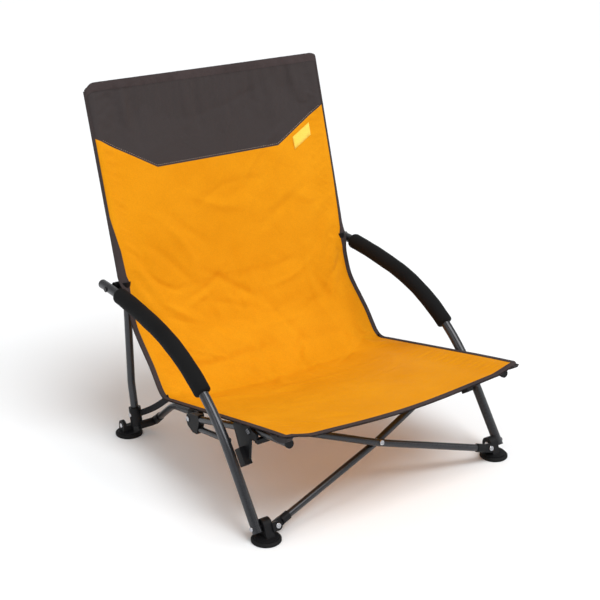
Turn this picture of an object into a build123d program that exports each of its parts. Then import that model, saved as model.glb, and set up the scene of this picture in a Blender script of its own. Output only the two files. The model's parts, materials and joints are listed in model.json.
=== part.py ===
from build123d import *
import os
from math import atan2, cos, degrees, radians, sin, tan

os.makedirs("parts", exist_ok=True)

# Folding low beach chair. Millimetres, Z up, the sitter faces -Y, the chair is symmetric about X = 0.
# "right" is the sitter's right, -X. Profiles are drawn with y = 0 midway between the feet, and save()
# moves them so that the origin is on the floor under the middle of the whole chair.

# ---- driving dimensions ---------------------------------------------------------------------------
ARM_OD, ARM_WALL = 19.0, 1.2            # arm and front leg tube
POST_OD, POST_WALL = 16.0, 1.2          # back post and rear leg tube
BAR_OD, BAR_WALL = 14.0, 1.0            # cross bars, rear links, side rails and stays
FOAM_OD, FOAM_BORE = 33.0, 19.0
PAD_OD, PAD_H = 56.0, 7.0               # round foot pads
PIN_OD, PIN_CLEAR = 6.0, 0.05           # rivets, and their radial running clearance
GAP = 0.3                               # between faces of different moving pieces
CENTRE_Y = 34.7                         # middle of the whole chair, in profile y

ARM_X = 291.0                           # planes of the side members, out from the middle
POST_X = 267.0
RAIL_X = 251.0
LINK_X = 231.0
FRONT_PAD_X, REAR_PAD_X = 275.0, 280.0
FRONT_Y, REAR_Y = -255.0, 256.0         # foot centres

BAR_TILT = 25.0                         # the crossed bars lean back from vertical
BAR_PIN_Z = 24.0
LOWER_BAR, LOWER_RISE = 267.0, 18.0     # foot pin to cross rivet: length, angle above level
UPPER_BAR, UPPER_RISE = 252.4, 22.0     # cross rivet to clip pin
FOLD = 60                               # how far each bar turns, open to folded
BAR_STEP = 7.6                          # each bar's axis stands this far from the plane between them

LEG_PIN = (-243.0, 26.0)                # side profile points are (y, z)
LEG_ANGLE = 53.7
ARM_END = (314.0, 317.0)
ARM_CORNERS = ((223.5, 317.0), (-62.0, 272.0))
ARM_RADII = (1090.0, 420.0)
LEG_TAIL = 10.0                         # leg tube beyond its pin
ARM_PIVOT = (285.0, 317.0)
FOAM_FROM, FOAM_TO = 246.0, -67.0       # foam sleeve, by y along the arm

POST_POINTS = ((246.0, 30.0), (260.0, 112.0), (260.0, 305.0), (378.0, 702.0))
POST_RADII = (90.0, 130.0)
SLEEVE_START_Z = 342.0

LINK_PIN = (234.0, 24.0)
LINK_CORNER, LINK_RADIUS = (150.0, 94.0), 60.0
KNEE = (45.0, 115.0)
RAIL_TIP = (-288.0, 203.0)
STAY_END = (-92.0, 124.0)

SLING_HALF = 255.0
SLING_T = 3.0
BACK_TOP = (369.0, 694.0)
BACK_LOW = (262.0, 322.0)
CREASE = (116.0, 134.0)
SEAT_FRONT = (-312.0, 229.0)
HEADREST_LOW_Z = 560.0

RIGHT, LEFT = -1, 1
SIDE_NAME = {RIGHT: "right", LEFT: "left"}

# ---- frame of the crossed bars: local x across, y up the leaning plane, z to the front --------------
tilt = radians(BAR_TILT)
BAR_PLANE = Plane(
    origin=(0, FRONT_Y, BAR_PIN_Z), x_dir=(1, 0, 0), z_dir=(0, -cos(tilt), sin(tilt))
)
FOOT_PIN_X = LOWER_BAR * cos(radians(LOWER_RISE))
CROSS_UP = LOWER_BAR * sin(radians(LOWER_RISE))
CLIP_PIN_X = UPPER_BAR * cos(radians(UPPER_RISE))
CLIP_UP = CROSS_UP + UPPER_BAR * sin(radians(UPPER_RISE))
CLIP_PIN = (FRONT_Y + CLIP_UP * sin(tilt), BAR_PIN_Z + CLIP_UP * cos(tilt))
ACROSS = (1, 0, 0)


# ---- helpers ----------------------------------------------------------------------------------------
def save(shape, name):
    moved = [Pos(0, -CENTRE_Y, 0) * solid for solid in shape.solids()]
    export_step(moved[0] if len(moved) == 1 else Compound(children=moved), f"parts/{name}.step")


def group(*solids):
    return Compound(children=list(solids))


def at_side(side, x, point):
    """A side profile point (y, z) in the plane at x, on that side."""
    return Vector(side * x, point[0], point[1])


def tube_along(path, start, direction, od, wall=0.0):
    """A round tube swept along a path; a wall of 0 makes it solid."""
    section = Plane(origin=start, z_dir=direction) * Circle(od / 2)
    if wall:
        section -= Plane(origin=start, z_dir=direction) * Circle(od / 2 - wall)
    return sweep(section, path=path)


def bent_tube(points, radii, od, wall=0.0):
    """A tube through 3-D points, with one bend radius per inner corner."""
    edges = []
    start = points[0]
    for corner, following, radius in zip(points[1:-1], points[2:], radii):
        back = (start - corner).normalized()
        ahead = (following - corner).normalized()
        half = radians(180 - back.get_angle(ahead)) / 2
        reach = radius * tan(half)
        enter, leave = corner + back * reach, corner + ahead * reach
        edges += [Line(start, enter), TangentArc([enter, leave], tangent=-back)]
        start = leave
    edges.append(Line(start, points[-1]))
    return tube_along(Wire(edges), points[0], points[1] - points[0], od, wall)


def rod(start, end, od):
    """A solid cylinder between two points."""
    start, end = Vector(*start), Vector(*end)
    axis = Plane(origin=start, z_dir=end - start)
    return axis * Cylinder(od / 2, (end - start).length, align=(Align.CENTER, Align.CENTER, Align.MIN))


def cross_rod(side, x_from, x_to, point, od):
    """A rod along X at a side profile point."""
    return rod(at_side(side, x_from, point), at_side(side, x_to, point), od)


def slab(side, x_from, x_to, outline):
    """A side profile outline given thickness along X."""
    low = min(side * x_from, side * x_to)
    face = Plane(origin=(low, 0, 0), x_dir=(0, 1, 0), z_dir=(1, 0, 0)) * make_face(
        Polyline([*outline, outline[0]])
    )
    return extrude(face, amount=abs(x_to - x_from))


def rivet(start, end, od=PIN_OD, head=10.0, head_h=1.8):
    """A rivet shank with a domed head at each end, heads outside start and end."""
    start, end = Vector(*start), Vector(*end)
    way = (end - start).normalized()
    body = rod(start - way * head_h, end + way * head_h, od)
    for point, out in ((start, -way), (end, way)):
        disc = Plane(origin=point, z_dir=out) * Cylinder(
            head / 2, head_h, align=(Align.CENTER, Align.CENTER, Align.MIN)
        )
        rim = disc.edges().filter_by(GeomType.CIRCLE).sort_by(lambda e: (e.center() - point).dot(out))[-1]
        body += fillet(rim, head_h * 0.7)
    return body


def end_fitting(pin, toward, normal, od, bore_from=16.0, length=34.0, tongue=9.0):
    """A moulded end: a collar over the tube and a flat round tongue with the pin hole."""
    frame = Plane(origin=pin, x_dir=toward, z_dir=normal)
    round_end = Cylinder(8.0, tongue)
    neck = Pos(bore_from / 2, 0, 0) * Box(bore_from, 16.0, tongue)
    collar = Pos(bore_from, 0, 0) * Rot(0, 90, 0) * Cylinder(
        od / 2 + 1.6, length - bore_from, align=(Align.CENTER, Align.CENTER, Align.MIN)
    )
    bore = Pos(bore_from, 0, 0) * Rot(0, 90, 0) * Cylinder(
        od / 2, length, align=(Align.CENTER, Align.CENTER, Align.MIN)
    )
    hole = Cylinder(PIN_OD / 2 + PIN_CLEAR, 3 * tongue)
    return frame * (round_end + neck + collar - bore - hole)


def profile_strip(points, radii, thickness, half_width):
    """A sheet of even thickness: a side profile line, thickened and carried across the chair."""
    line = []
    start = Vector(0, *points[0])
    for corner, following, radius in zip(points[1:-1], points[2:], radii):
        corner, following = Vector(0, *corner), Vector(0, *following)
        back, ahead = (start - corner).normalized(), (following - corner).normalized()
        reach = radius * tan(radians(180 - back.get_angle(ahead)) / 2)
        line += [Line(start, corner + back * reach)]
        line += [TangentArc([corner + back * reach, corner + ahead * reach], tangent=-back)]
        start = corner + ahead * reach
    line.append(Line(start, Vector(0, *points[-1])))
    first = Vector(0, *points[1]) - Vector(0, *points[0])
    section = Plane(origin=(0, *points[0]), x_dir=(1, 0, 0), z_dir=first) * Rectangle(2 * half_width, thickness)
    return sweep(section, path=Wire(line))


# ---- crossed front bars -----------------------------------------------------------------------------
def bar_point(x, up, front):
    return BAR_PLANE.from_local_coords(Vector(x, up, front))


def front_axis():
    return BAR_PLANE.z_dir


def crossed_bar(foot_side):
    """One kinked bar, from the foot on foot_side to the clip on the other side, and its two end fittings."""
    front = BAR_STEP if foot_side == LEFT else -BAR_STEP
    foot = bar_point(foot_side * FOOT_PIN_X, 0, front)
    cross = bar_point(0, CROSS_UP, front)
    clip = bar_point(-foot_side * CLIP_PIN_X, CLIP_UP, front)
    up_lower, up_upper = (cross - foot).normalized(), (clip - cross).normalized()
    bar = bent_tube([foot + up_lower * 16, cross, clip - up_upper * 16], [90.0], BAR_OD, BAR_WALL)
    hole = rod(cross - front_axis() * 20, cross + front_axis() * 20, PIN_OD + 2 * PIN_CLEAR)
    name = SIDE_NAME[foot_side]
    save(bar - hole, f"front_bar_{name}")
    ends = [
        end_fitting(foot, up_lower, front_axis(), BAR_OD),
        end_fitting(clip, -up_upper, front_axis(), BAR_OD),
    ]
    save(group(*ends), f"front_bar_ends_{name}")


def cross_rivet():
    reach = BAR_STEP + BAR_OD / 2 + GAP
    save(rivet(bar_point(0, CROSS_UP, -reach), bar_point(0, CROSS_UP, reach)), "front_cross_rivet")


# ---- feet -------------------------------------------------------------------------------------------
def foot_pad(side, x, y, name):
    """A round rubber pad, bevelled above and grooved below."""
    pad = Pos(side * x, y, PAD_H / 2) * Cylinder(PAD_OD / 2, PAD_H)
    pad = chamfer(pad.edges().filter_by(GeomType.CIRCLE).sort_by(Axis.Z)[-1], 3.0)
    pad = chamfer(pad.edges().filter_by(GeomType.CIRCLE).sort_by(Axis.Z)[0], 1.0)
    grooves = [
        Pos(side * x, y, 0.5) * (Cylinder(r + 1.0, 1.0) - Cylinder(r - 1.0, 1.0)) for r in (12.0, 19.0)
    ]
    save(pad - grooves[0] - grooves[1], name)


def lug_front_side(foot_side_of_bar):
    """Front offsets (low, high) of a lug that stands against that bar's tongue."""
    return (-2.8, 6.0) if foot_side_of_bar == RIGHT else (-6.0, 2.8)


def bar_lug(side, pin_x, up, inner_reach, low, high):
    """A round-ended lug in the leaning plane around a bar pin, running outward to |x| = inner_reach."""
    middle, thick = (low + high) / 2, high - low
    disc = Pos(side * pin_x, up, middle) * Cylinder(8.5, thick)
    run = abs(inner_reach - pin_x)
    arm = Pos(side * (pin_x + run / 2), up, middle) * Box(run, 17.0, thick)
    hole = Pos(side * pin_x, up, 0) * Cylinder(PIN_OD / 2, 60)
    return BAR_PLANE.location * (disc + arm - hole)


def front_foot(side):
    name = SIDE_NAME[side]
    foot_pad(side, FRONT_PAD_X, FRONT_Y + 3, f"front_pad_{name}")
    centre = (side * FRONT_PAD_X, FRONT_Y + 3)
    flange = Pos(*centre, PAD_H + 1.2) * Cylinder(22.5, 2.4)
    inner, outer = 263.6, ARM_X - ARM_OD / 2 - GAP
    boss = cross_rod(side, inner, outer, LEG_PIN, 27.0)
    boss += slab(side, inner, outer, [(-265, PAD_H + 1), (-231, PAD_H + 1), (-229.5, 26), (-256.5, 28)])
    low, high = lug_front_side(side)
    hub = flange + boss + bar_lug(side, FOOT_PIN_X, 0, inner + 2, low, high)
    floor_cut = Pos(*centre, PAD_H / 2 - 10) * Box(200, 200, PAD_H + 20)
    bar_front = BAR_STEP if side == LEFT else -BAR_STEP
    bar_swing = BAR_PLANE.location * (Pos(side * FOOT_PIN_X, 0, bar_front) * Cylinder(9.0, 9.8))
    beyond = bar_front + (4.5 + GAP) * (1 if bar_front > 0 else -1)
    opposite = high if side == RIGHT else low
    bar_rivet = rivet(
        bar_point(side * FOOT_PIN_X, 0, opposite), bar_point(side * FOOT_PIN_X, 0, beyond)
    )
    leg_rivet = rivet(
        at_side(side, inner, LEG_PIN), at_side(side, ARM_X + ARM_OD / 2 + GAP, LEG_PIN)
    )
    save(group(bar_rivet, leg_rivet), f"front_hub_rivets_{name}")
    save(hub - floor_cut - bar_swing - bar_rivet - leg_rivet, f"front_hub_{name}")


def rear_foot(side):
    name = SIDE_NAME[side]
    foot_pad(side, REAR_PAD_X, REAR_Y, f"rear_pad_{name}")
    bottom, next_up = at_side(side, POST_X, POST_POINTS[0]), at_side(side, POST_X, POST_POINTS[1])
    way = (next_up - bottom).normalized()
    flange = Pos(side * REAR_PAD_X, REAR_Y, PAD_H + 1.2) * Cylinder(22.5, 2.4)
    socket = rod(bottom - way * 9, bottom + way * 30, 25.0)
    post_bore = rod(bottom, bottom + way * 60, POST_OD)
    ear_pin = (REAR_Y + 2, 22.0)
    ear = cross_rod(side, 289, 296, ear_pin, 22.0)
    ear += slab(side, 289, 296, [(REAR_Y - 9, PAD_H), (REAR_Y + 13, PAD_H), (REAR_Y + 13, 22), (REAR_Y - 9, 22)])
    web = slab(side, 272, 290, [(REAR_Y - 6, PAD_H), (REAR_Y + 9, PAD_H), (REAR_Y + 7, 20), (REAR_Y - 4, 20)])
    link_face = LINK_X + 4.5 + GAP
    lug = cross_rod(side, link_face, POST_X, LINK_PIN, 17.0)
    foot_cut = Pos(side * REAR_PAD_X, REAR_Y, PAD_H / 2 - 10) * Box(220, 220, PAD_H + 20)
    rivets = [
        rivet(at_side(side, POST_X - 12.6, (248.6, 45.0)), at_side(side, POST_X + 12.6, (248.6, 45.0))),
        rivet(at_side(side, LINK_X - 4.5 - GAP, LINK_PIN), at_side(side, POST_X - 2, LINK_PIN), head=6.2),
        rivet(at_side(side, 289, ear_pin), at_side(side, 296, ear_pin)),
    ]
    hub = flange + socket + ear + web + lug - post_bore - foot_cut
    for one in rivets:
        hub -= one
    save(hub, f"rear_hub_{name}")
    save(group(*rivets), f"rear_hub_rivets_{name}")


# ---- arm tubes, which are also the front legs ---------------------------------------------------------
def leg_end():
    angle = radians(LEG_ANGLE)
    return (LEG_PIN[0] - LEG_TAIL * cos(angle), LEG_PIN[1] - LEG_TAIL * sin(angle))


def arm_points(side):
    return [at_side(side, ARM_X, p) for p in (ARM_END, *ARM_CORNERS, leg_end())]


def arm(side):
    name = SIDE_NAME[side]
    points = arm_points(side)
    tube = bent_tube(points, ARM_RADII, ARM_OD, ARM_WALL)
    pivot_hole = cross_rod(side, ARM_X - 15, ARM_X + 15, ARM_PIVOT, PIN_OD + 2 * PIN_CLEAR)
    foot_hole = cross_rod(side, ARM_X - 15, ARM_X + 15, LEG_PIN, PIN_OD + 2 * PIN_CLEAR)
    save(tube - pivot_hole - foot_hole, f"arm_tube_{name}")
    foam = bent_tube(points, ARM_RADII, FOAM_OD) - bent_tube(points, ARM_RADII, FOAM_BORE)
    window = Pos(side * ARM_X, (FOAM_FROM + FOAM_TO) / 2, 250) * Box(80, FOAM_FROM - FOAM_TO, 400)
    save(foam & window, f"arm_foam_{name}")
    end = points[0]
    cap = rod(end, end + Vector(0, 5, 0), ARM_OD)
    cap = fillet(cap.edges().filter_by(GeomType.CIRCLE).sort_by(Axis.Y)[-1], 3.0)
    cap += rod(end - Vector(0, 14, 0), end, ARM_OD - 2 * ARM_WALL)
    save(cap, f"arm_plug_{name}")


# ---- back posts, which are also the rear legs ---------------------------------------------------------
def post_path(side):
    return [at_side(side, POST_X, p) for p in POST_POINTS]


def post(side):
    name = SIDE_NAME[side]
    points = post_path(side)
    tube = bent_tube(points, POST_RADII, POST_OD, POST_WALL)
    solid_post = bent_tube(points, POST_RADII, POST_OD)
    shank = cross_rod(side, 240, 300, (248.6, 45.0), PIN_OD)
    save(tube - shank, f"rear_post_{name}")
    sleeve = bent_tube(points, POST_RADII, POST_OD + 3.8) - bent_tube(points, POST_RADII, POST_OD + 0.8)
    keep = Pos(side * POST_X, 330, SLEEVE_START_Z + 200) * Box(60, 300, 400)
    save(sleeve & keep, f"post_sleeve_{name}")
    outer = ARM_X - ARM_OD / 2 - GAP
    collar = Pos(side * POST_X, 263.5, ARM_PIVOT[1]) * Cylinder(11.0, 34)
    lug = slab(side, POST_X - 10, POST_X + 8, [(264, 303), (283, 307), (293, 312), (293, 322), (283, 328), (264, 331)])
    boss = cross_rod(side, POST_X - 10, outer, ARM_PIVOT, 21.0)
    pin_hole = cross_rod(side, 240, 300, ARM_PIVOT, PIN_OD)
    save(collar + lug + boss - solid_post - pin_hole, f"arm_bracket_{name}")
    pivot = rivet(
        at_side(side, POST_X - 10, ARM_PIVOT), at_side(side, ARM_X + ARM_OD / 2 + GAP, ARM_PIVOT), head=12.0
    )
    save(pivot, f"arm_pivot_rivet_{name}")


def corner_strap(side):
    """Flat webbing from the sling's rear corner down to the rear foot."""
    top, low = (112.0, 116.0), (226.0, 52.0)
    angle = atan2(low[1] - top[1], low[0] - top[0])
    off = (-sin(angle) * 0.9, cos(angle) * 0.9)
    outline = [
        (top[0] + off[0], top[1] + off[1]),
        (low[0] + off[0], low[1] + off[1]),
        (low[0] - off[0], low[1] - off[1]),
        (top[0] - off[0], top[1] - off[1]),
    ]
    save(slab(side, 243.0, 262.0, outline), f"corner_strap_{SIDE_NAME[side]}")


# ---- rear links, knees and side rails -----------------------------------------------------------------
def rear_link(side):
    name = SIDE_NAME[side]
    pin, corner, knee = (at_side(side, LINK_X, p) for p in (LINK_PIN, LINK_CORNER, KNEE))
    first, last = (corner - pin).normalized(), (corner - knee).normalized()
    link = bent_tube([pin + first * 16, corner, knee + last * 16], [LINK_RADIUS], BAR_OD, BAR_WALL)
    save(link, f"rear_link_{name}")
    ends = [end_fitting(pin, first, ACROSS, BAR_OD), end_fitting(knee, last, ACROSS, BAR_OD)]
    save(group(*ends), f"link_ends_{name}")


def side_rail(side):
    name = SIDE_NAME[side]
    knee, clip, tip = (at_side(side, RAIL_X, p) for p in (KNEE, CLIP_PIN, RAIL_TIP))
    way = (clip - knee).normalized()
    rail = bent_tube([knee + way * 12, clip, tip], [150.0], BAR_OD, BAR_WALL)
    rail -= cross_rod(side, RAIL_X - 15, RAIL_X + 15, CLIP_PIN, PIN_OD + 2 * PIN_CLEAR)
    save(rail, f"side_rail_{name}")
    ahead = (tip - clip).normalized()
    cap = rod(tip, tip + ahead * 5, BAR_OD + 2) + rod(tip - ahead * 12, tip, BAR_OD - 2 * BAR_WALL)
    save(cap, f"rail_cap_{name}")
    stay_from = (KNEE[0] - 22, KNEE[1] - 13)
    start, end = at_side(side, RAIL_X, stay_from), at_side(side, RAIL_X, STAY_END)
    stay = rod(start, end, BAR_OD - 2) - rod(start, end, BAR_OD - 2 - 2 * BAR_WALL)
    save(stay, f"lower_stay_{name}")
    knuckle = slab(
        side,
        RAIL_X - 6.5,
        RAIL_X + 7,
        [(53, 110), (51, 122), (42, 127), (8, 136), (4, 124), (14, 94), (30, 92), (48, 100)],
    )
    knuckle -= rod(knee + way * 12, clip, BAR_OD)
    knuckle -= rod(start, end, BAR_OD - 2)
    knee_rivet = cross_rod(side, RAIL_X - 6.5, RAIL_X + 7, KNEE, PIN_OD)
    knee_rivet += cross_rod(side, RAIL_X + 7, RAIL_X + 8.6, KNEE, 10.0)
    save(knee_rivet, f"knee_rivet_{name}")
    knuckle -= knee_rivet
    save(knuckle, f"knee_knuckle_{name}")


# ---- clips that carry the crossed bars and lean on the legs ---------------------------------------------
def leg_clip(side):
    name = SIDE_NAME[side]
    pin_y, pin_z = CLIP_PIN
    slot_in, slot_out = RAIL_X - BAR_OD / 2 - 0.5, RAIL_X + BAR_OD / 2 + 0.5
    inner_cheek = cross_rod(side, slot_in - 7, slot_in, CLIP_PIN, 21.0)
    outer_cheek = cross_rod(side, slot_out, slot_out + 5, CLIP_PIN, 21.0)
    wing = [
        (pin_y - 10, pin_z - 4),
        (pin_y + 2, pin_z + 9.5),
        (pin_y + 46, pin_z + 5),
        (pin_y + 52, pin_z - 8),
        (pin_y + 26, pin_z - 60),
        (pin_y + 8, pin_z - 66),
        (pin_y - 1, pin_z - 56),
        (pin_y - 4, pin_z - 20),
    ]
    outer_cheek += slab(side, slot_out, slot_out + 5, wing)
    web = slab(
        side,
        slot_in - 7,
        slot_out + 5,
        [(pin_y - 30, pin_z - 14), (pin_y - 21, pin_z - 14), (pin_y - 21, pin_z - 5), (pin_y - 30, pin_z - 5)],
    )
    front_arms = slab(
        side,
        slot_in - 7,
        slot_in,
        [(pin_y - 28, pin_z - 12), (pin_y, pin_z - 12), (pin_y, pin_z + 8), (pin_y - 24, pin_z + 4)],
    )
    front_arms += slab(
        side,
        slot_out,
        slot_out + 5,
        [(pin_y - 28, pin_z - 12), (pin_y, pin_z - 12), (pin_y, pin_z + 8), (pin_y - 24, pin_z + 4)],
    )
    angle = radians(LEG_ANGLE)
    saddle_at = (LEG_PIN[0] + 128 * cos(angle), LEG_PIN[1] + 128 * sin(angle))
    foam_inner = ARM_X - FOAM_OD / 2
    saddle = Pos(side * (slot_out + foam_inner - GAP) / 2, *saddle_at) * Rot(LEG_ANGLE, 0, 0) * Box(
        foam_inner - GAP - slot_out, 34, 20
    )
    low, high = lug_front_side(-side)
    lug = bar_lug(side, CLIP_PIN_X, CLIP_UP, slot_in - 3, low, high)
    body = inner_cheek + outer_cheek + web + front_arms + saddle + lug
    body -= cross_rod(side, slot_in, slot_out, CLIP_PIN, 38.0)
    bar_front = BAR_STEP if side == RIGHT else -BAR_STEP
    body -= BAR_PLANE.location * (Pos(side * CLIP_PIN_X, CLIP_UP, bar_front) * Cylinder(9.0, 9.8))
    pin = bar_point(side * CLIP_PIN_X, CLIP_UP, bar_front)
    for turn in range(0, FOLD + 1, 10):
        down = radians(UPPER_RISE + turn)
        far = bar_point(side * (CLIP_PIN_X - 50 * cos(down)), CLIP_UP - 50 * sin(down), bar_front)
        way = (far - pin).normalized()
        body -= rod(pin + way * 14.5, pin + way * 44, BAR_OD + 4.4)
        heading = degrees(atan2(-sin(down), -side * cos(down)))
        neck = Pos(side * CLIP_PIN_X, CLIP_UP, bar_front) * Rot(0, 0, heading) * Pos(8, 0, 0)
        body -= BAR_PLANE.location * (neck * Box(17, 17, 9.8))
    beyond = bar_front + (4.5 + GAP) * (1 if bar_front > 0 else -1)
    opposite = high if -side == RIGHT else low
    bar_rivet = rivet(
        bar_point(side * CLIP_PIN_X, CLIP_UP, opposite), bar_point(side * CLIP_PIN_X, CLIP_UP, beyond)
    )
    rail_rivet = rod(at_side(side, slot_in - 1, CLIP_PIN), at_side(side, slot_out + 5, CLIP_PIN), PIN_OD)
    rail_rivet += cross_rod(side, slot_out + 5, slot_out + 7, CLIP_PIN, 11.0)
    save(body - bar_rivet - rail_rivet, f"leg_clip_{name}")
    save(group(bar_rivet, rail_rivet), f"clip_rivets_{name}")


# ---- sling --------------------------------------------------------------------------------------------
def back_point(z):
    share = (z - BACK_LOW[1]) / (BACK_TOP[1] - BACK_LOW[1])
    return (BACK_LOW[0] + share * (BACK_TOP[0] - BACK_LOW[0]), z)


def sling():
    middle = ((CREASE[0] + SEAT_FRONT[0]) / 2, (CREASE[1] + SEAT_FRONT[1]) / 2)
    head_low = back_point(HEADREST_LOW_Z)
    save(profile_strip([BACK_TOP, head_low], [], SLING_T, SLING_HALF), "headrest_panel")
    save(profile_strip([head_low, BACK_LOW, CREASE], [160.0], SLING_T, SLING_HALF), "sling_back")
    seat_start = (CREASE[0] - 3.0, CREASE[1] + 0.67)
    front_start = (middle[0] - 0.4, middle[1] + 0.09)
    save(profile_strip([seat_start, middle], [], SLING_T, SLING_HALF), "sling_seat_rear")
    save(profile_strip([front_start, SEAT_FRONT], [], SLING_T, SLING_HALF), "sling_seat_front")
    y, z = back_point(538)
    tag = Pos(200, y - 3.2, z) * Rot(-16, 0, 0) * Box(44, 1.2, 26)
    save(tag, "side_tag")


def corner_pocket(side):
    """Doubled fabric pocket over the rail's front cap."""
    outline = [(-318, 218), (-300, 224), (-262, 219), (-262, 214.5), (-292, 214.5), (-296, 193), (-302, 193)]
    save(slab(side, SLING_HALF + GAP, RAIL_X + 20, outline), f"corner_pocket_{SIDE_NAME[side]}")


# ---- build --------------------------------------------------------------------------------------------
cross_rivet()
sling()
for each_side in (RIGHT, LEFT):
    crossed_bar(each_side)
    front_foot(each_side)
    rear_foot(each_side)
    arm(each_side)
    post(each_side)
    corner_strap(each_side)
    rear_link(each_side)
    side_rail(each_side)
    leg_clip(each_side)
    corner_pocket(each_side)
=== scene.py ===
import json
import math
import random

import bmesh
import bpy
import numpy as np
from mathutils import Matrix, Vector


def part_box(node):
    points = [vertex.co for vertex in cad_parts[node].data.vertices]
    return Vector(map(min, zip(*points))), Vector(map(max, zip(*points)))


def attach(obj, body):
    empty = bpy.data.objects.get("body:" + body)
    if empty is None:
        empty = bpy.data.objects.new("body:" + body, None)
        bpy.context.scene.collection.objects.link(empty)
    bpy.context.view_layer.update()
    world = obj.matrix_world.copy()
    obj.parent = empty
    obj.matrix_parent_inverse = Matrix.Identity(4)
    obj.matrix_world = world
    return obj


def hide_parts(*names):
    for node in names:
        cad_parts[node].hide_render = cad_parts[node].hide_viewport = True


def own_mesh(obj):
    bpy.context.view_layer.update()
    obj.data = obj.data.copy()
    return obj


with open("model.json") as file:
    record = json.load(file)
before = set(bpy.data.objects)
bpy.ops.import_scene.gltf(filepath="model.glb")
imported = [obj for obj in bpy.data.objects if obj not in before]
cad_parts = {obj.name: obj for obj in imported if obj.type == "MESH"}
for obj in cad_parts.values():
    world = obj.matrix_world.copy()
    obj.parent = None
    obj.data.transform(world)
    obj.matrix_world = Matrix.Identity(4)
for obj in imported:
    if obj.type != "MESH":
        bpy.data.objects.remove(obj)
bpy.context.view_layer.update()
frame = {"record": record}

RNG = random.Random(7)
SEAM, SEAM_SIDE = 0.1842, 0.1175        # the headrest seam below the top edge, in the middle and at the sides
SEAM_INNER, SEAM_OUTER = 0.147, 0.262   # flat distances from the middle where its slant starts and ends
SLOPE = (SEAM - SEAM_SIDE) / (SEAM_OUTER - SEAM_INNER)
FLAT_MIDDLE = 0.3                       # the sling's middle line in flat coordinates


# ---------------------------------------------------------------- materials
class Nodes:
    """A material's node tree, with short calls for the nodes used here."""

    def __init__(self, name):
        self.mat = bpy.data.materials.new(name)
        self.mat.use_nodes = True
        self.tree = self.mat.node_tree
        self.bsdf = self.tree.nodes["Principled BSDF"]

    def add(self, kind, **values):
        node = self.tree.nodes.new(kind)
        for key, value in values.items():
            if hasattr(node, key):
                setattr(node, key, value)
            else:
                node.inputs[key].default_value = value
        return node

    def link(self, a, b):
        self.tree.links.new(a, b)

    def math(self, op, a, b=None, clamp=False):
        node = self.tree.nodes.new("ShaderNodeMath")
        node.operation = op
        node.use_clamp = clamp
        for i, value in enumerate((a, b)):
            if value is None:
                continue
            if isinstance(value, (int, float)):
                node.inputs[i].default_value = value
            else:
                self.link(value, node.inputs[i])
        return node.outputs[0]

    def mix(self, factor, a, b):
        node = self.tree.nodes.new("ShaderNodeMix")
        node.data_type = "RGBA"
        for socket, value in ((node.inputs[0], factor), (node.inputs[6], a), (node.inputs[7], b)):
            if isinstance(value, (tuple, float, int)):
                socket.default_value = value
            else:
                self.link(value, socket)
        return node.outputs[2]

    def noise(self, vector, scale, detail=3.0, rough=0.5):
        node = self.add("ShaderNodeTexNoise")
        node.inputs["Scale"].default_value = scale
        node.inputs["Detail"].default_value = detail
        node.inputs["Roughness"].default_value = rough
        self.link(vector, node.inputs["Vector"])
        return node.outputs["Fac"]

    def ramp(self, value, low, high, a, b):
        span = self.add("ShaderNodeMapRange")
        self.link(value, span.inputs["Value"])
        for key, v in (("From Min", low), ("From Max", high), ("To Min", a), ("To Max", b)):
            span.inputs[key].default_value = v
        return span.outputs[0]

    def bump(self, height, strength, distance, normal=None):
        node = self.add("ShaderNodeBump")
        node.inputs["Strength"].default_value = strength
        node.inputs["Distance"].default_value = distance
        self.link(height, node.inputs["Height"])
        if normal is not None:
            self.link(normal, node.inputs["Normal"])
        return node.outputs[0]

    def object_coords(self):
        return self.add("ShaderNodeTexCoord").outputs["Object"]


def rgb(r, g, b):
    """Display values 0 to 255 to a linear colour."""

    def linear(v):
        return (v / 255) / 12.92 if v <= 10 else ((v / 255 + 0.055) / 1.055) ** 2.4

    return tuple(linear(v) for v in (r, g, b)) + (1.0,)


def hard_material(name, colour, darker, metallic, rough_low, rough_high, grain, bump_mm, coat=0.0):
    n = Nodes(name)
    at = n.object_coords()
    fine = n.noise(at, grain, 4.0, 0.6)
    broad = n.noise(at, 14.0, 2.0)
    n.link(n.mix(n.ramp(broad, 0.3, 0.7, 0.0, 1.0), darker, colour), n.bsdf.inputs["Base Color"])
    n.bsdf.inputs["Metallic"].default_value = metallic
    n.link(n.ramp(fine, 0.3, 0.7, rough_low, rough_high), n.bsdf.inputs["Roughness"])
    n.bsdf.inputs["Coat Weight"].default_value = coat
    n.bsdf.inputs["Specular IOR Level"].default_value = 0.5 if metallic else 0.18
    n.bsdf.inputs["Coat Roughness"].default_value = 0.25
    n.link(n.bump(fine, 0.5, bump_mm / 1000), n.bsdf.inputs["Normal"])
    return n.mat


def weave(n, across, along, pitch):
    """Height of a plain weave, 0 to 1, from two coordinates in metres."""
    k = 2 * math.pi / pitch
    warp = n.math("SINE", n.math("MULTIPLY", across, k))
    weft = n.math("SINE", n.math("MULTIPLY", along, k))
    return n.ramp(n.math("MULTIPLY", warp, weft), -1.0, 1.0, 0.0, 1.0)


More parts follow.
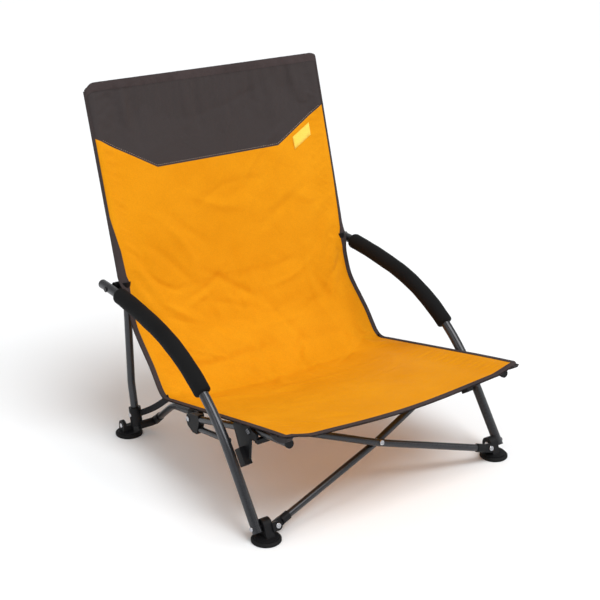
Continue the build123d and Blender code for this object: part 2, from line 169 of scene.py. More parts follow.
def fabric_material(name, colour, shade, pitch=0.0011, use_uv=False, head=None, sheen=0.05, fleck=0.08):
    """Fine woven cloth, with its pitch in metres. With head, that colour shows above the headrest seam."""
    n = Nodes(name)
    if use_uv:
        coords = n.add("ShaderNodeUVMap").outputs[0]
    else:
        coords = n.object_coords()
    parts = n.add("ShaderNodeSeparateXYZ")
    n.link(coords, parts.inputs[0])
    across, along = parts.outputs[0], parts.outputs[1 if use_uv else 2]
    at = n.object_coords()
    broad = n.noise(at, 9.0, 4.0, 0.6)
    slub = n.noise(at, 420.0, 2.0, 0.6)
    mixed = n.mix(n.ramp(broad, 0.3, 0.7, 0.0, 1.0), shade, colour)
    if head is not None:
        reach = n.math("ABSOLUTE", n.math("SUBTRACT", across, FLAT_MIDDLE))
        rise = n.math("MULTIPLY", n.math("SUBTRACT", reach, SEAM_INNER), SLOPE)
        seam = n.math("SUBTRACT", SEAM, n.math("MAXIMUM", rise, 0.0))
        above = n.math("LESS_THAN", along, seam)
        mixed = n.mix(above, mixed, head)
    tint = n.ramp(slub, 0.35, 0.65, 1 - fleck, 1 + 0.8 * fleck)
    toned = n.add("ShaderNodeVectorMath", operation="SCALE")
    n.link(mixed, toned.inputs[0])
    n.link(tint, toned.inputs["Scale"])
    n.link(toned.outputs[0], n.bsdf.inputs["Base Color"])
    n.link(n.ramp(slub, 0.3, 0.7, 0.62, 0.8), n.bsdf.inputs["Roughness"])
    n.bsdf.inputs["Sheen Weight"].default_value = sheen
    n.bsdf.inputs["Sheen Roughness"].default_value = 0.5
    n.bsdf.inputs["Sheen Tint"].default_value = colour
    n.bsdf.inputs["Specular Tint"].default_value = tuple(0.4 + 0.6 * v for v in colour[:3]) + (1.0,)
    n.bsdf.inputs["Specular IOR Level"].default_value = 0.1
    folds = n.add("ShaderNodeTexNoise")
    n.link(at, folds.inputs["Vector"])
    for key, value in (("Scale", 9.0), ("Detail", 5.0), ("Roughness", 0.52), ("Distortion", 1.1)):
        folds.inputs[key].default_value = value
    crumple = n.bump(folds.outputs["Fac"], 0.55, 0.008)
    base = n.bump(n.noise(at, 60.0, 4.0, 0.6), 0.25, 0.0012, crumple)
    n.link(n.bump(weave(n, across, along, pitch), 0.35, 0.00025, base), n.bsdf.inputs["Normal"])
    return n.mat


ORANGE, ORANGE_SHADE = rgb(227, 150, 20), rgb(219, 141, 14)
DARK, DARK_SHADE = rgb(61, 57, 58), rgb(46, 43, 44)
# slot: name, colour, darker colour, metallic, lowest and highest roughness, grain scale, bump in mm, coat
HARD = {
    "frame_tube": ("gunmetal_coat", (52, 53, 57), (43, 44, 47), 0.6, 0.24, 0.34, 900.0, 0.03, 0.3),
    "black_plastic": ("black_nylon", (24, 24, 26), (17, 17, 19), 0.0, 0.42, 0.6, 1400.0, 0.05),
    "black_rubber": ("foot_rubber", (20, 20, 21), (14, 14, 15), 0.0, 0.6, 0.8, 700.0, 0.08),
    "black_foam": ("arm_foam_skin", (17, 17, 18), (11, 11, 12), 0.0, 0.75, 0.95, 1500.0, 0.35),
    "rivet_steel": ("plated_rivet", (205, 206, 210), (180, 181, 186), 1.0, 0.2, 0.32, 500.0, 0.02),
    "dark_rivet": ("blackened_rivet", (30, 30, 32), (22, 22, 24), 0.6, 0.3, 0.42, 500.0, 0.02),
}
M = {
    slot_name: hard_material(name, rgb(*colour), rgb(*darker), *rest)
    for slot_name, (name, colour, darker, *rest) in HARD.items()
}
M["orange_fabric"] = fabric_material("sling_cloth", ORANGE, ORANGE_SHADE, use_uv=True, head=DARK, fleck=0.045)
M["dark_fabric"] = fabric_material("dark_cloth", DARK, DARK_SHADE)
M["black_webbing"] = fabric_material("webbing_cloth", rgb(38, 38, 40), rgb(28, 28, 30), pitch=0.0022)
M["plain_tag"] = fabric_material("tag_cloth", rgb(250, 214, 96), rgb(244, 200, 70), pitch=0.0009)
M["binding"] = fabric_material("binding_cloth", rgb(72, 63, 63), rgb(60, 53, 53))
M["thread"] = fabric_material("thread_cloth", rgb(206, 190, 172), rgb(190, 172, 152), pitch=0.0006)
M["dark_thread"] = fabric_material("dark_thread_cloth", rgb(52, 49, 50), rgb(44, 42, 43), pitch=0.0006)
SLOT_OF = {s["node"]: s["material_slot"] for s in frame["record"]["subparts"]}
for node, slot_name in SLOT_OF.items():
    obj = bpy.data.objects.get(node)
    if obj is None:
        continue
    obj.data.materials.clear()
    obj.data.materials.append(M["dark_rivet" if node.startswith("arm_pivot_rivet") else slot_name])


# ---------------------------------------------------------------- mesh helpers
def new_mesh(name, verts, faces, material, smooth=True):
    mesh = bpy.data.meshes.new(name)
    mesh.from_pydata([tuple(map(float, v)) for v in verts], [], faces)
    mesh.validate()
    bm = bmesh.new()
    bm.from_mesh(mesh)
    bmesh.ops.recalc_face_normals(bm, faces=bm.faces)
    bm.to_mesh(mesh)
    bm.free()
    obj = bpy.data.objects.new(name, mesh)
    bpy.context.collection.objects.link(obj)
    mesh.materials.append(material)
    if smooth:
        mesh.shade_smooth()
    return obj


def path_with_bends(points, radii, step=0.004):
    """Points every few millimetres along straight runs joined by arcs."""
    points = [Vector(p) for p in points]
    out = [points[0]]
    for corner, after, radius in zip(points[1:-1], points[2:], radii):
        back, ahead = (out[-1] - corner).normalized(), (after - corner).normalized()
        half = (math.pi - back.angle(ahead)) / 2
        reach = radius * math.tan(half)
        start = corner + back * reach
        middle = corner + (back + ahead).normalized() * (radius / math.cos(half))
        run = start - out[-1]
        count = max(1, int(run.length / step))
        out += [out[-1] + run * (k / count) for k in range(1, count + 1)]
        turn = 2 * half
        normal = back.cross(ahead).normalized()
        arm = start - middle
        count = max(2, int(radius * turn / step))
        for k in range(1, count + 1):
            a = -turn * k / count
            out.append(middle + arm * math.cos(a) + normal.cross(arm) * math.sin(a))
    run = points[-1] - out[-1]
    count = max(1, int(run.length / step))
    start = out[-1]
    out += [start + run * (k / count) for k in range(1, count + 1)]
    return out


def swept(name, path, rings, material, sides=28):
    """A closed skin round a path. rings(t, angle) gives its radius; t is the distance along."""
    verts, faces = [], []
    total = 0.0
    side = Vector((1, 0, 0))
    for k, point in enumerate(path):
        ahead = path[min(k + 1, len(path) - 1)] - path[max(k - 1, 0)]
        up = ahead.normalized().cross(side).normalized()
        if k:
            total += (point - path[k - 1]).length
        for m in range(sides):
            a = 2 * math.pi * m / sides
            r = rings(total, a)
            verts.append(point + side * (math.cos(a) * r) + up * (math.sin(a) * r))
    count = len(path)
    for k in range(count - 1):
        for m in range(sides):
            n = (m + 1) % sides
            faces.append((k * sides + m, k * sides + n, (k + 1) * sides + n, (k + 1) * sides + m))
    faces.append(tuple(range(sides))[::-1])
    faces.append(tuple((count - 1) * sides + m for m in range(sides)))
    return new_mesh(name, verts, faces, material)


# ---------------------------------------------------------------- the sling's surface
POST_FOOT, POST_HEAD = np.array([0.2253, 0.305]), np.array([0.3433, 0.702])     # (y, z) on the post's axis
LOWER_EDGE = [          # (y, z) along the sling's side edge, below the sleeves
    (0.2125, 0.2940), (0.2035, 0.2680), (0.1920, 0.2450), (0.1735, 0.2245), (0.1515, 0.2040),
    (0.1290, 0.1825), (0.1110, 0.1610), (0.0985, 0.1465), (0.0850, 0.1370), (0.0695, 0.1357),
    (0.0523, 0.1397), (0.0103, 0.1491), (-0.0497, 0.1628), (-0.1097, 0.1764), (-0.1697, 0.1900),
    (-0.2297, 0.2036), (-0.2897, 0.2166), (-0.3297, 0.2248), (-0.3487, 0.2284),
]
WRAP = 0.0107           # the cloth's radius round a post
POST_X = 0.267          # the posts' distance from the middle
HEM_COLS = 4            # grid columns across each bound edge
HEAD_FOLDS = [          # position across, run, length, width and height of each fold in the headrest
    (-0.205, 0.060, 0.055, 0.011, 0.0042), (-0.178, 0.075, 0.050, 0.010, -0.0032),
    (-0.060, 0.055, 0.060, 0.012, 0.0034), (-0.030, 0.080, 0.045, 0.010, -0.0028),
    (0.030, 0.110, 0.040, 0.014, 0.0030), (0.095, 0.070, 0.050, 0.011, -0.0030),
    (0.150, 0.090, 0.050, 0.012, 0.0038), (0.190, 0.060, 0.055, 0.010, -0.0034),
    (0.225, 0.085, 0.045, 0.009, 0.0030),
]
COLS, ROWS = 66, 156    # cells of the sling's grid before it is made finer
CREASES = 110
SIM_FRAMES = 26
MOST_MOVE = 0.008       # how far the simulation may move the cloth


def catmull(points, values):
    """Smooth interpolation of points, which are rows, at fractional indices."""
    points = np.asarray(points, float)
    last = len(points) - 1
    i = np.clip(np.floor(values).astype(int), 0, last - 1)
    t = (values - i).reshape((-1,) + (1,) * (points.ndim - 1))
    p = [points[np.clip(i + d, 0, last)] for d in (-1, 0, 1, 2)]
    return 0.5 * (
        2 * p[1] + (p[2] - p[0]) * t + (2 * p[0] - 5 * p[1] + 4 * p[2] - p[3]) * t**2
        + (3 * p[1] - p[0] - 3 * p[2] + p[3]) * t**3
    )


def side_profile():
    """Even steps down the sling's side edge: run from the top, y and z."""
    way = (POST_HEAD - POST_FOOT) / np.linalg.norm(POST_HEAD - POST_FOOT)
    front = np.array([-way[1], way[0]]) * WRAP
    top = POST_HEAD + way * 0.0110
    post = [top + (POST_FOOT - top) * (k / 13) + front for k in range(14)]
    dense = catmull(np.array(post + LOWER_EDGE), np.linspace(0, len(post) + len(LOWER_EDGE) - 1, 1400))
    run = np.concatenate([[0], np.cumsum(np.linalg.norm(np.diff(dense, axis=0), axis=1))])
    even = np.linspace(0, run[-1], ROWS + 1)
    return even, np.interp(even, run, dense[:, 0]), np.interp(even, run, dense[:, 1])


RUN, EDGE_Y, EDGE_Z = side_profile()
LENGTH = float(RUN[-1])
CREASE_ROW = int(np.argmin(np.where(EDGE_Y > 0, EDGE_Z, 9)))
CREASE_RUN = float(RUN[CREASE_ROW])
LEAVE_RUN = float(np.interp(-0.335, -EDGE_Z, RUN))       # where the sleeves end


def half_width(run):
    """Flat distance from the middle to the edge: wrapped over the posts above, plain below."""
    return np.interp(run, [0, LEAVE_RUN - 0.01, LEAVE_RUN + 0.03, CREASE_RUN, LENGTH],
                     [0.2860, 0.2860, 0.2740, 0.2735, 0.2715])


def hem_width(run, side):
    """Width of the dark bound edge, which is not quite even."""
    wide = 0.0092 if side < 0 else 0.0165
    return np.interp(run, [0, LEAVE_RUN - 0.13, LEAVE_RUN - 0.06, LEAVE_RUN, LEAVE_RUN + 0.03, LENGTH],
                     [wide, wide, 0.0185, 0.021, 0.0100, 0.0100])


def sag(run, share):
    """How far the cloth hangs off its side edges: share is 0 in the middle and 1 at the edge."""
    stations = [0, 0.12, 0.3, CREASE_RUN - 0.12, CREASE_RUN, CREASE_RUN + 0.09, CREASE_RUN + 0.21, LENGTH]
    deep = np.interp(run, stations, [0.004, 0.009, 0.014, 0.014, 0.010, 0.011, 0.005, 0.013])
    return deep * np.clip(1 - share**2, 0, 1) ** 2


def corner_drop(out, start, radius, reach):
    """How far a rounded corner falls back from a straight end, past start from the middle."""
    past = np.clip(out - start, 0, reach)
    return radius - np.sqrt(radius**2 - past**2)


def base_grid():
    """Points of the drawn sling, and the flat position of each."""
    grid = np.zeros((ROWS + 1, COLS + 1, 3))
    flat = np.zeros((ROWS + 1, COLS + 1, 2))
    ty, tz = np.gradient(EDGE_Y), np.gradient(EDGE_Z)
    size = np.hypot(ty, tz)
    ty, tz = ty / size, tz / size
    under_y, under_z = -tz, ty
    blend = np.clip((RUN - (CREASE_RUN - 0.03)) / 0.08, 0, 1)
    on_post = 1 - np.clip((RUN - (LEAVE_RUN - 0.02)) / 0.05, 0, 1)
    half = half_width(RUN)
    inner = [half - hem_width(RUN, side) for side in (-1, 1)]
    for j in range(COLS + 1):
        if j <= HEM_COLS:
            x = -half + (half - inner[0]) * j / HEM_COLS
        elif j >= COLS - HEM_COLS:
            x = half - (half - inner[1]) * (COLS - j) / HEM_COLS
        else:
            t = (j - HEM_COLS) / (COLS - 2 * HEM_COLS)
            x = -inner[0] + (inner[0] + inner[1]) * t
        sign = np.sign(x)
        q = np.abs(x)
        past = np.clip(q - POST_X, 0, None)
        turn = past / WRAP
        wrapped = POST_X + WRAP * np.sin(turn)
        out = np.where(q > POST_X, on_post * wrapped + (1 - on_post) * q, q)
        back = on_post * WRAP * (1 - np.cos(turn)) * (q > POST_X)
        depth = sag(RUN, np.clip(q / (0.212 + 0.055 * blend), 0, 1)) + back
        oy = under_y * (1 - blend)
        oz = under_z * (1 - blend) - blend
        drop = corner_drop(out, 0.2596, 0.018, 0.0177) * np.clip(1 - RUN / 0.05, 0, 1)
        drop = drop - corner_drop(out, 0.2495, 0.022, 0.0216) * np.clip(1 - (LENGTH - RUN) / 0.05, 0, 1)
        grid[:, j, 0] = sign * out
        grid[:, j, 1] = EDGE_Y + depth * oy + ty * drop
        grid[:, j, 2] = EDGE_Z + depth * oz + tz * drop
        flat[:, j, 0] = x + FLAT_MIDDLE
        flat[:, j, 1] = RUN + drop
    return grid, flat


def normals_of(grid):
    along = np.gradient(grid, axis=0)
    across = np.gradient(grid, axis=1)
    n = np.cross(along, across)
    return n / np.maximum(np.linalg.norm(n, axis=2, keepdims=True), 1e-12)


def ridges(grid, flat):
    """Soft creases in the cloth, as low ridges and hollows, more of them low on the back."""
    n = normals_of(grid)
    height = np.zeros(grid.shape[:2])
    x, s = flat[..., 0] - FLAT_MIDDLE, flat[..., 1]
    inside = np.clip((0.262 - np.abs(x)) / 0.03, 0, 1)
    for k in range(CREASES):
        low = k % 2
        cs = RNG.gauss(CREASE_RUN - 0.09, 0.09) if low else RNG.uniform(0.03, LENGTH - 0.04)
        cx = RNG.uniform(-0.24, 0.24)
        turn = RNG.gauss(0.0, 0.55) + (0.8 if cx < 0 else -0.8)
        long, wide = RNG.uniform(0.03, 0.10), RNG.uniform(0.005, 0.013)
        size = RNG.uniform(0.15, 0.6) * (0.0058 if low else 0.0044) * RNG.choice((-1, 1))
        a = (x - cx) * math.cos(turn) + (s - cs) * math.sin(turn)
        b = -(x - cx) * math.sin(turn) + (s - cs) * math.cos(turn)
        b = b + a * a * RNG.uniform(-3, 3)
        height += size * np.exp(-((a / long) ** 2) - (b / wide) ** 2)
    for cx, cs, long, wide, size in HEAD_FOLDS:
        bend = 0.08 * (s - cs) * math.copysign(1, cx)
        height += size * np.exp(-(((s - cs) / long) ** 2) - ((x - cx + bend) / wide) ** 2)
    free = np.clip((0.225 - np.abs(x)) / 0.03, 0, 1)     # near the posts, only ridges that lift the cloth
    height = height * free + np.maximum(height, 0) * (1 - free)
    return grid + n * (height * inside)[..., None]


def simulate(grid):
    """Lets the cloth hang from its side edges, and keeps the result near the drawn shape."""
    rows, cols = grid.shape[:2]
    verts = grid.reshape(-1, 3)
    faces = [
        (r * cols + c, r * cols + c + 1, (r + 1) * cols + c + 1, (r + 1) * cols + c)
        for r in range(rows - 1)
        for c in range(cols - 1)
    ]
    mesh = bpy.data.meshes.new("sling_sim")
    mesh.from_pydata(verts.tolist(), [], faces)
    obj = bpy.data.objects.new("sling_sim", mesh)
    bpy.context.collection.objects.link(obj)
    pins = obj.vertex_groups.new(name="pins")
    edge = [*range(HEM_COLS + 2), *range(cols - HEM_COLS - 2, cols)]
    held = [r * cols + c for r in range(rows) for c in edge]
    held += [r * cols + c for r in (0, 1) for c in range(cols)]
    pins.add(held, 1.0, "REPLACE")
    cloth = obj.modifiers.new("cloth", "CLOTH")
    cloth.settings.vertex_group_mass = "pins"
    cloth.settings.quality = 6
    cloth.settings.mass = 0.05
    cloth.settings.tension_stiffness = 40
    cloth.settings.compression_stiffness = 40
    cloth.settings.shear_stiffness = 12
    cloth.settings.bending_stiffness = 0.25
    cloth.settings.shrink_min = -0.008
    cloth.collision_settings.use_collision = False
    cloth.point_cache.frame_start = 1
    cloth.point_cache.frame_end = SIM_FRAMES
    scene = bpy.context.scene
    for f in range(1, SIM_FRAMES + 1):
        scene.frame_set(f)
    done = obj.evaluated_get(bpy.context.evaluated_depsgraph_get()).to_mesh()
    out = np.array([v.co for v in done.vertices]).reshape(rows, cols, 3)
    scene.frame_set(1)
    bpy.data.objects.remove(obj, do_unlink=True)
    move = out - grid
    far = np.linalg.norm(move, axis=2, keepdims=True)
    return grid + move * np.where(far > MOST_MOVE, MOST_MOVE / np.maximum(far, 1e-9), 1.0)


def finer(grid, flat):
    """Twice the rows and columns, smoothly."""
    r = np.linspace(0, grid.shape[0] - 1, 2 * grid.shape[0] - 1)
    c = np.linspace(0, grid.shape[1] - 1, 2 * grid.shape[1] - 1)
    out = []
    for data in (grid, flat):
        tall = catmull(data, r)
        out.append(np.swapaxes(catmull(np.swapaxes(tall, 0, 1), c), 0, 1))
    return out


GRID, FLAT = base_grid()
GRID = simulate(GRID)
GRID, FLAT = finer(GRID, FLAT)
GRID = ridges(GRID, FLAT)
NORMAL = normals_of(GRID)
NR, NC = GRID.shape[:2]
SPLIT = [0, 2 * CREASE_ROW, CREASE_ROW + (NR - 1) // 2, NR - 1]


def layer(name, r0, r1, c0, c1, front, back, material):
    """A closed piece of the sling between grid rows and columns, with faces off its middle surface."""
    g, n, f = (a[r0 : r1 + 1, c0 : c1 + 1] for a in (GRID, NORMAL, FLAT))
    rows, cols = g.shape[:2]
    top, low = (g + n * front).reshape(-1, 3), (g - n * back).reshape(-1, 3)
    count = rows * cols
    verts = np.concatenate([top, low])
    faces = []
    for r in range(rows - 1):
        for c in range(cols - 1):
            a, b, d, e = r * cols + c, r * cols + c + 1, (r + 1) * cols + c + 1, (r + 1) * cols + c
            faces.append((a, e, d, b))
            faces.append((count + a, count + b, count + d, count + e))
    rim = [(0, c) for c in range(cols)] + [(r, cols - 1) for r in range(1, rows)]
    rim += [(rows - 1, c) for c in range(cols - 2, -1, -1)] + [(r, 0) for r in range(rows - 2, 0, -1)]
    ids = [r * cols + c for r, c in rim]
    for k, a in enumerate(ids):
        b = ids[(k + 1) % len(ids)]
        faces.append((a, b, count + b, count + a))
    mesh = bpy.data.meshes.new(name)
    mesh.from_pydata(verts.tolist(), [], faces)
    mesh.materials.append(material)
    uv = mesh.uv_layers.new(name="UVMap")
    flat_uv = np.concatenate([f.reshape(-1, 2)] * 2)
    loops = np.zeros(len(mesh.loops), int)
    mesh.loops.foreach_get("vertex_index", loops)
    uv.data.foreach_set("uv", flat_uv[loops].astype(np.float32).ravel())
    mesh.shade_smooth()
    obj = bpy.data.objects.new(name, mesh)
    bpy.context.collection.objects.link(obj)
    own = np.concatenate([n.reshape(-1, 3), -n.reshape(-1, 3)])
    mesh.normals_split_custom_set_from_vertices(own.tolist())
    return obj


def on_sheet(x, run):
    """Point and normal of the cloth at a flat position."""
    r = min(max(run / LENGTH * (NR - 1), 0), NR - 1.001)
    i = int(r)
    c = float(np.interp(x + FLAT_MIDDLE, FLAT[i, :, 0], np.arange(NC)))
    c = min(max(c, 0), NC - 1.001)
    j = int(c)
    a, b = r - i, c - j

    def cell(d):
        near = d[i, j] * (1 - b) + d[i, j + 1] * b
        return near * (1 - a) + (d[i + 1, j] * (1 - b) + d[i + 1, j + 1] * b) * a

    return Vector(cell(GRID)), Vector(cell(NORMAL)).normalized()


STITCH_FACES = (
    (0, 1, 6), (1, 2, 7, 6), (2, 3, 7), (3, 4, 7), (4, 5, 6, 7), (5, 0, 6), (5, 4, 3, 2, 1, 0),
)


def stitches(name, lines, material, lift, pitch=0.0048, long=0.0032, wide=0.0009):
    """Rows of small raised stitches along flat lines, each a list of (x, run)."""
    verts, faces = [], []
    for line in lines:
        for (x0, s0), (x1, s1) in zip(line[:-1], line[1:]):
            size = math.hypot(x1 - x0, s1 - s0)
            count = max(1, int(size / pitch))
            for k in range(count):
                t0, t1 = (k + 0.15) / count, (k + 0.15 + long / pitch) / count
                a, n = on_sheet(x0 + (x1 - x0) * t0, s0 + (s1 - s0) * t0)
                b, _ = on_sheet(x0 + (x1 - x0) * t1, s0 + (s1 - s0) * t1)
                way = (b - a).normalized()
                side = way.cross(n).normalized() * wide / 2
                a, b = a + n * (lift - 0.0002), b + n * (lift - 0.0002)
                up = n * 0.0006
                base = len(verts)
                quarter = (b - a) * 0.2
                verts += [a, a + quarter + side, b - quarter + side]
                verts += [b, b - quarter - side, a + quarter - side]
                verts += [a + quarter + up, b - quarter + up]
                faces += [tuple(base + v for v in f) for f in STITCH_FACES]
    return new_mesh(name, verts, faces, material, smooth=False)


SQUASH = {     # body: the anchor of its cloth, and the share of its width that is kept when folded
    "post_right": ((-0.2776, 0, 0), 0.2853),
    "seat_rear": ((-0.2735, 0, 0), 0.2755),
    "seat_front": ((-0.2715, 0, 0), 0.2674),
}


def goes_with(obj, body):
    """Rides a piece on a body, and gives it its own copy of its mesh if the body carries the sling."""
    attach(obj, body)
    if body in SQUASH:
        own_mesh(obj)


HEM = 2 * HEM_COLS      # finer grid columns across each bound edge
T = 0.0006              # half the cloth's thickness
HEM_T = 0.0015          # half the thickness of the bound edges
# name, body, nodes, what holds it, and its flat width, which is larger for the back because it wraps the posts
PANELS = [
    ("sling_back_cloth", "post_right", ("sling_back", "headrest_panel"), "rear_post", 0.567),
    ("sling_seat_rear_cloth", "seat_rear", ("sling_seat_rear",), "rear_post", 0.546),
    ("sling_seat_front_cloth", "seat_front", ("sling_seat_front",), "side_rail", 0.546),
]


def edge_line(side, start, stop, inset=0.0016):
    """Flat points down one side, just inside the bound edge's inner line."""
    count = max(2, int((stop - start) / 0.02))
    runs = [start + (stop - start) * k / count for k in range(count + 1)]
    return [(side * float(half_width(r) - hem_width(r, side) + inset), r) for r in runs]


for k, (name, body, nodes, held_by, cut_width) in enumerate(PANELS):
    r0, r1 = SPLIT[k], SPLIT[k + 1]
    sheet = layer(name, r0 + (k == 0), r1 - (k == 2), 1, NC - 2, T, T, M["orange_fabric"])
    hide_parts(*nodes)
    goes_with(sheet, body)
    trims = []
    for label, c0, c1 in (("right", 0, HEM), ("left", NC - 1 - HEM, NC - 1)):
        trims.append(layer(f"{name}_hem_{label}", r0, r1, c0, c1, HEM_T, HEM_T, M["binding"]))
    s0, s1 = r0 / (NR - 1) * LENGTH, r1 / (NR - 1) * LENGTH
    lines = [edge_line(sg, s0 + 0.004, s1 - 0.004) for sg in (-1, 1)]
    c0, c1 = HEM, NC - 1 - HEM
    if k == 0:
        trims.append(layer("sling_top_hem", 0, 5, c0, c1, 0.0014, 0.0014, M["binding"]))
    if k == 2:
        trims.append(layer("sling_front_hem", NR - 5, NR - 1, c0, c1, HEM_T, HEM_T, M["binding"]))
        lines.append([(-0.262, LENGTH - 0.0095), (0.262, LENGTH - 0.0095)])
    trims.append(stitches(f"{name}_stitching", lines, M["dark_thread"], HEM_T))
    if k == 0:
        side_run, middle_run = SEAM_SIDE - 0.004, SEAM - 0.004
        seam = [(-SEAM_OUTER, side_run), (-SEAM_INNER, middle_run)]
        seam += [(SEAM_INNER, middle_run), (SEAM_OUTER, side_run)]
        trims.append(stitches("headrest_topstitch", [seam], M["thread"], T))
    for piece in trims:
        goes_with(piece, body)

# ---------------------------------------------------------------- sleeves, foam, straps, pockets, tag
CY = 0.0347             # taken off the drawn profile's y to give y in the shared frame
SLEEVE_RADIUS = 0.0093
FOAM_END_RADIUS, FOAM_LIP = 0.0105, 0.006
for side, sg in (("right", -1), ("left", 1)):
    post = [(sg * POST_X, 0.260 - CY, 0.305), (sg * POST_X, 0.3789 - CY, 0.7048)]
    line = path_with_bends([Vector(post[0]).lerp(Vector(post[1]), 0.085), post[1]], [])
    ends = (Vector(post[1]) - Vector(post[0])).length * 0.915

    def sleeve_radius(t, a, sg=sg, ends=ends):
        inward = max(0.0, -sg * math.cos(a))
        wrinkle = 0.00025 * math.sin(t * 260 + 2 * math.sin(a)) + 0.0002 * math.sin(t * 97 + 3 * a)
        cap = min(1.0, math.sqrt(max(0.3, (ends - t) / 0.0025)))
        return (SLEEVE_RADIUS + 0.0004 * inward + wrinkle) * cap

    sleeve = swept(f"post_sleeve_cloth_{side}", line, sleeve_radius, M["dark_fabric"])
    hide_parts(f"post_sleeve_{side}")
    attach(sleeve, f"post_{side}")

    X = sg * 0.291
    arm_points = [(0.314, 0.317), (0.2235, 0.317), (-0.062, 0.272), (-0.24892, 0.01794)]
    arm = path_with_bends([(X, y - CY, z) for y, z in arm_points], [1.09, 0.42], 0.003)
    foam_path = [p for p in arm if -0.0735 - CY <= p.y <= 0.247 - CY]
    foam_long = sum((b - a).length for a, b in zip(foam_path[:-1], foam_path[1:]))

    def foam_radius(t, a, foam_long=foam_long, sg=sg):
        near = min(t, foam_long - t)
        inset = 1 - min(1.0, near / FOAM_LIP)
        lip = FOAM_END_RADIUS + FOAM_LIP * math.sqrt(max(0.0, 1 - inset**2))
        uneven = 0.00018 * math.sin(t * 70 + sg) + 0.00012 * math.sin(t * 151 + 2 * a)
        return lip + uneven

    foam = swept(f"arm_foam_sleeve_{side}", foam_path, foam_radius, M["black_foam"], sides=40)
    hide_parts(f"arm_foam_{side}")
    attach(foam, f"arm_{side}")

    lo, hi = (Vector(v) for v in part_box(f"corner_strap_{side}"))
    start = Vector((sg * 0.2640, 0.0740, 0.1365))
    stop = Vector((sg * 0.2600, hi.y + 0.010, lo.z - 0.001))
    along = (stop - start).normalized()
    wide = along.cross(Vector((1, 0, 0))).normalized() * 0.0065
    thick = Vector((0.0008, 0, 0))
    verts, faces = [], []
    count, across = 48, 8
    for k in range(count + 1):
        t = k / count
        spine = start.lerp(stop, t) - Vector((0, 0, 0.004 * math.sin(math.pi * t)))
        for face in (1, -1):
            for m in range(across + 1):
                rib = 0.00018 * math.cos(m * math.pi) + 0.0001 * math.sin(k * 2.1)
                off = wide * face * (2 * m / across - 1)
                verts.append(spine + off + (thick + Vector((rib, 0, 0))) * face)
    ring = 2 * (across + 1)
    for k in range(count):
        for m in range(ring):
            n = (m + 1) % ring
            faces.append((k * ring + m, k * ring + n, (k + 1) * ring + n, (k + 1) * ring + m))
    faces.append(tuple(range(ring)))
    faces.append(tuple(count * ring + m for m in range(ring)))
    strap = new_mesh(f"corner_strap_web_{side}", verts, faces, M["black_webbing"])
    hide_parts(f"corner_strap_{side}")
    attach(strap, f"post_{side}")

    inner, outer = sg * 0.2565, sg * 0.2705
    outline = [
        (-0.3465, 0.2262), (-0.330, 0.2232), (-0.312, 0.2195), (-0.296, 0.2160), (-0.296, 0.2120),
        (-0.306, 0.2085), (-0.322, 0.2095), (-0.334, 0.2130), (-0.343, 0.2190),
    ]
    bm = bmesh.new()
    near = [bm.verts.new((inner, y, z)) for y, z in outline]
    far = [bm.verts.new((outer, y, z)) for y, z in outline]
    bm.faces.new(near)
    bm.faces.new(far[::-1])
    for a in range(len(outline)):
        b = (a + 1) % len(outline)
        bm.faces.new((near[a], far[a], far[b], near[b]))
    bmesh.ops.recalc_face_normals(bm, faces=bm.faces)
    bmesh.ops.bevel(bm, geom=list(bm.edges), offset=0.0014, segments=3, affect="EDGES", profile=0.6)
    mesh = bpy.data.meshes.new(f"corner_pocket_cloth_{side}")
    bm.to_mesh(mesh)
    bm.free()
    mesh.materials.append(M["dark_fabric"])
    mesh.shade_smooth()
    pocket = bpy.data.objects.new(mesh.name, mesh)
    bpy.context.collection.objects.link(pocket)
    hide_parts(f"corner_pocket_{side}")
    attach(pocket, f"rail_{side}")

# the plain tag, a folded strip sewn under the headrest seam
TAG_X, TAG_RUN = 0.186, 0.172                           # its inner top corner, in flat coordinates
TAG_LONG, TAG_DEEP, TAG_RISE = 0.046, 0.027, 0.025      # it rises outwards, along the seam's slant
TAG_STEPS, TAG_LINES = 16, 5
verts, faces = [], []
for front in (True, False):
    for k in range(TAG_STEPS + 1):
        for m in range(TAG_LINES):
            x = TAG_X + TAG_LONG * k / TAG_STEPS
            run = TAG_RUN + TAG_DEEP * m / 4 - TAG_RISE * k / TAG_STEPS
            p, n = on_sheet(x, run)
            verts.append(p + n * (0.0014 + 0.0012 * math.sin(math.pi * m / 4) if front else 0.0007))
half = (TAG_STEPS + 1) * TAG_LINES
for k in range(TAG_STEPS):
    for m in range(TAG_LINES - 1):
        a = k * TAG_LINES + m
        faces.append((a, a + 1, a + 6, a + 5))
        faces.append((half + a, half + a + 5, half + a + 6, half + a + 1))
ring = [*range(TAG_LINES)] + [k * TAG_LINES + 4 for k in range(1, TAG_STEPS + 1)]
ring += [TAG_STEPS * TAG_LINES + m for m in range(3, -1, -1)]
ring += [k * TAG_LINES for k in range(TAG_STEPS - 1, 0, -1)]
for k, a in enumerate(ring):
    b = ring[(k + 1) % len(ring)]
    faces.append((a, half + a, half + b, b))
tag = new_mesh("plain_side_tag", verts, faces, M["plain_tag"])
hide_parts("side_tag")
goes_with(tag, "post_right")

# ---------------------------------------------------------------- floor, light, camera
FLOOR_SIZE = 80
SUN_POWER, SUN_SPREAD, SUN_WAY = 2.1, 40, (-0.14, 0.38, -0.88)
STRIP_SIZE, STRIP_WATTS, STRIP_AIM = (0.35, 1.8), 7, (0, 0, 0.3)
CAMERA_AT, CAMERA_WAY, CAMERA_LENS = (-1.3915, -1.9862, 1.2703), (0.533, 0.761, -0.369), 78.9

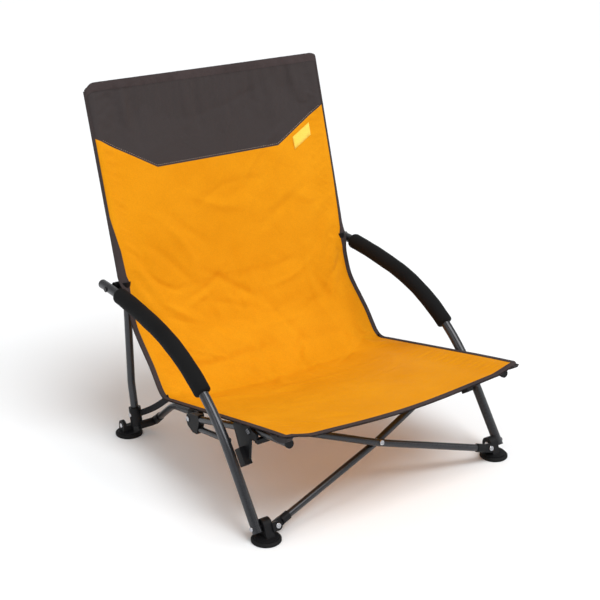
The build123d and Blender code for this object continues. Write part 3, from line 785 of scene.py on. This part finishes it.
floor_mat = Nodes("studio_floor")
floor_mat.bsdf.inputs["Base Color"].default_value = (0.91, 0.93, 0.945, 1)
floor_mat.bsdf.inputs["Roughness"].default_value = 0.9
bpy.ops.mesh.primitive_plane_add(size=FLOOR_SIZE, location=(0, 0, 0))
floor = bpy.context.object
floor.name = "studio_floor"
floor.data.materials.append(floor_mat.mat)

world = bpy.data.worlds.new("studio")
bpy.context.scene.world = world
world.use_nodes = True
sky = world.node_tree
height = sky.nodes.new("ShaderNodeSeparateXYZ")
level = sky.nodes.new("ShaderNodeMapRange")
sky.links.new(sky.nodes.new("ShaderNodeTexCoord").outputs["Generated"], height.inputs[0])
sky.links.new(height.outputs[2], level.inputs["Value"])
for key, value in (("From Min", 0.1), ("From Max", 0.3), ("To Min", 1.0), ("To Max", 0.5)):
    level.inputs[key].default_value = value
sky.links.new(level.outputs[0], sky.nodes["Background"].inputs["Strength"])
sky.nodes["Background"].inputs["Color"].default_value = (1, 1, 1, 1)


def softbox(name, spot, aim, size, watts):
    """A rectangular lamp at spot that faces aim."""
    data = bpy.data.lights.new(name, "AREA")
    data.shape = "RECTANGLE"
    data.size, data.size_y = size
    data.energy = watts
    lamp = bpy.data.objects.new(name, data)
    lamp.location = spot
    lamp.rotation_euler = (Vector(aim) - Vector(spot)).to_track_quat("-Z", "Y").to_euler()
    bpy.context.collection.objects.link(lamp)


even = bpy.data.lights.new("even", "SUN")
even.energy = SUN_POWER
even.angle = math.radians(SUN_SPREAD)
overhead = bpy.data.objects.new("even", even)
overhead.rotation_euler = Vector(SUN_WAY).to_track_quat("-Z", "Y").to_euler()
bpy.context.collection.objects.link(overhead)
softbox("strip_left", (-2.2, -0.6, 1.7), STRIP_AIM, STRIP_SIZE, STRIP_WATTS)
softbox("strip_right", (2.2, -1.6, 1.5), STRIP_AIM, STRIP_SIZE, STRIP_WATTS)

lens = bpy.data.cameras.new("photo_view")
lens.sensor_width = 36
lens.lens = CAMERA_LENS
camera = bpy.data.objects.new("photo_view", lens)
camera.location = CAMERA_AT
camera.rotation_euler = Vector(CAMERA_WAY).to_track_quat("-Z", "Y").to_euler()
bpy.context.collection.objects.link(camera)
bpy.context.scene.camera = camera
bpy.context.scene.view_settings.view_transform = "Standard"
